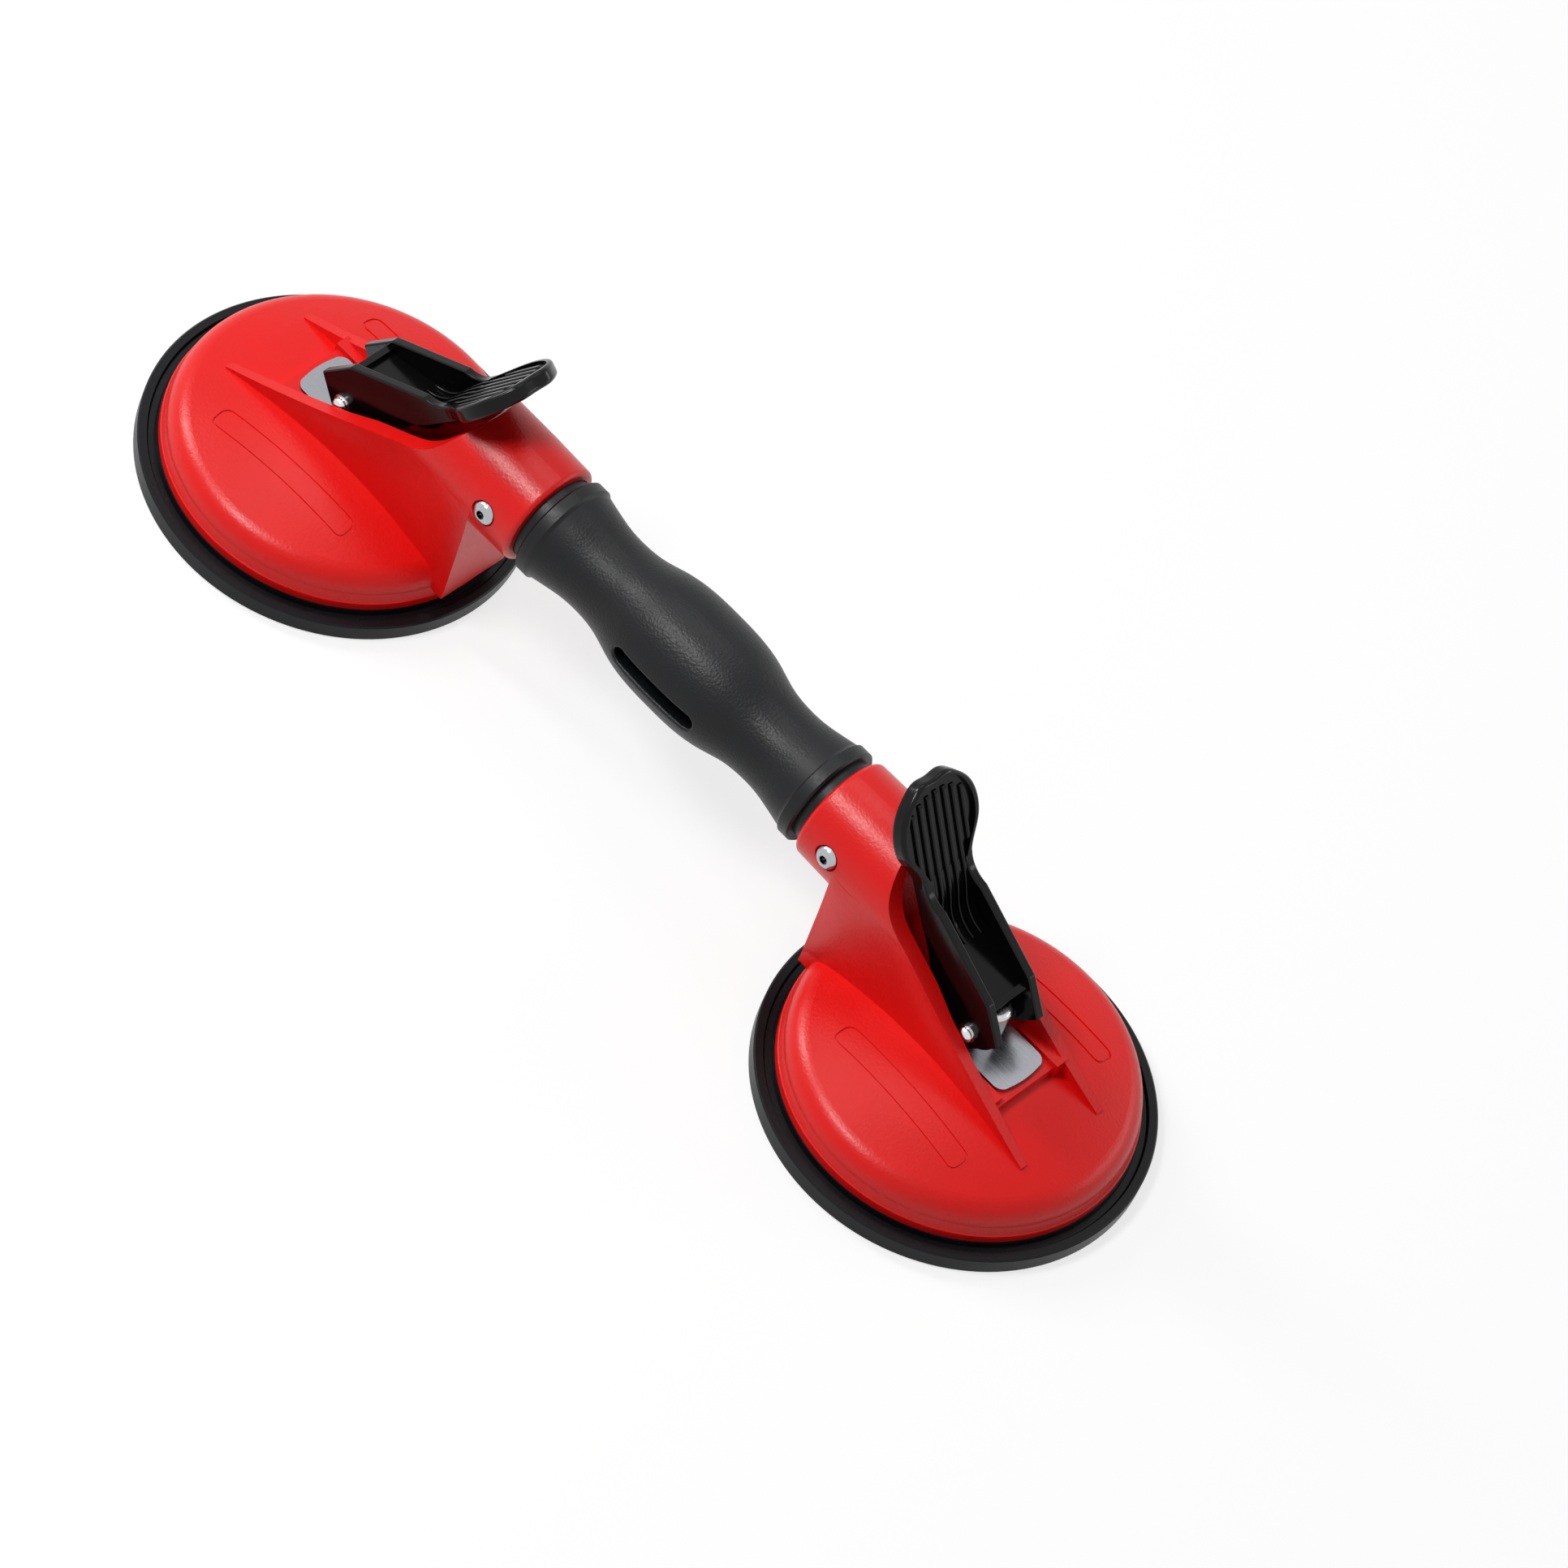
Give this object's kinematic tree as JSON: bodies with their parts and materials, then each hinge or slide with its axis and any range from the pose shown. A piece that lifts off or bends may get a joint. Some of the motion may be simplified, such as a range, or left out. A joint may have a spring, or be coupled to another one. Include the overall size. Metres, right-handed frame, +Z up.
{
  "type": "double-cup floor tile suction lifter",
  "caption": "Hand-held vacuum lifter for floor tiles: lever-operated suction cups in red moulded housings joined by a rigid black grip.",
  "frame": {"origin": "on the floor, midway between the two cups (centre of the bounding box in plan, at its base)", "axes": "+X along the grip from the left cup to the right cup, +Y to the side away from the clamp screws, +Z up from the sealing faces"},
  "size_m": [0.382, 0.12, 0.1016],
  "materials": {
    "grip_plastic": "fine pebble texture, satin",
    "red_housing": "satin-gloss moulded plastic",
    "cup_rubber": "smooth rubber, satin",
    "plate_steel": "pressed, zinc plated",
    "stud_steel": "turned steel",
    "bush_plastic": "natural acetal",
    "spring_steel": "spring wire",
    "wear_steel": "pressed stainless sheet, lightly brushed",
    "lever_plastic": "moulded plastic, semi-gloss",
    "pin_steel": "polished steel",
    "clip_steel": "phosphated spring steel",
    "screw_zinc": "bright zinc plate",
    "insert_brass": "knurled brass"
  },
  "bodies": {
    "frame": {"handle_grip": "grip_plastic", "left_housing": "red_housing", "left_suction_pad": "cup_rubber", "left_guide_bush": "bush_plastic", "left_return_spring": "spring_steel", "left_wear_plate": "wear_steel", "left_clamp_screw": "screw_zinc", "left_clamp_insert": "insert_brass", "right_housing": "red_housing", "right_suction_pad": "cup_rubber", "right_guide_bush": "bush_plastic", "right_return_spring": "spring_steel", "right_wear_plate": "wear_steel", "right_clamp_screw": "screw_zinc", "right_clamp_insert": "insert_brass"},
    "left_draw": {"left_draw_stud": "stud_steel", "left_pull_plate": "plate_steel"},
    "left_lever_arm": {"left_lever": "lever_plastic", "left_lever_pin": "pin_steel", "left_pin_clip": "clip_steel"},
    "right_draw": {"right_draw_stud": "stud_steel", "right_pull_plate": "plate_steel"},
    "right_lever_arm": {"right_lever": "lever_plastic", "right_lever_pin": "pin_steel", "right_pin_clip": "clip_steel"}
  },
  "joints": [
    {"name": "left_draw_slide", "type": "slide", "parent": "frame", "child": "left_draw", "axis": [0, 0, 1], "range_m": [-0.00462, 0], "deforming": ["left_return_spring", "left_suction_pad"]},
    {"name": "left_lever_fold", "type": "hinge", "parent": "left_draw", "child": "left_lever_arm", "pos_m": [-0.131, 0, 0.0413], "axis": [0, -1, 0], "range_deg": [0, 51]},
    {"name": "right_draw_slide", "type": "slide", "parent": "frame", "child": "right_draw", "axis": [0, 0, 1], "range_m": [-0.00462, 0], "deforming": ["right_return_spring", "right_suction_pad"]},
    {"name": "right_lever_fold", "type": "hinge", "parent": "right_draw", "child": "right_lever_arm", "pos_m": [0.131, 0, 0.0413], "axis": [0, 1, 0], "range_deg": [0, 51]}
  ],
  "couplings": [
    {"joint": "left_lever_fold", "follows": "left_draw_slide", "rad_per_m": -192.31},
    {"joint": "right_lever_fold", "follows": "right_draw_slide", "rad_per_m": -192.31}
  ]
}
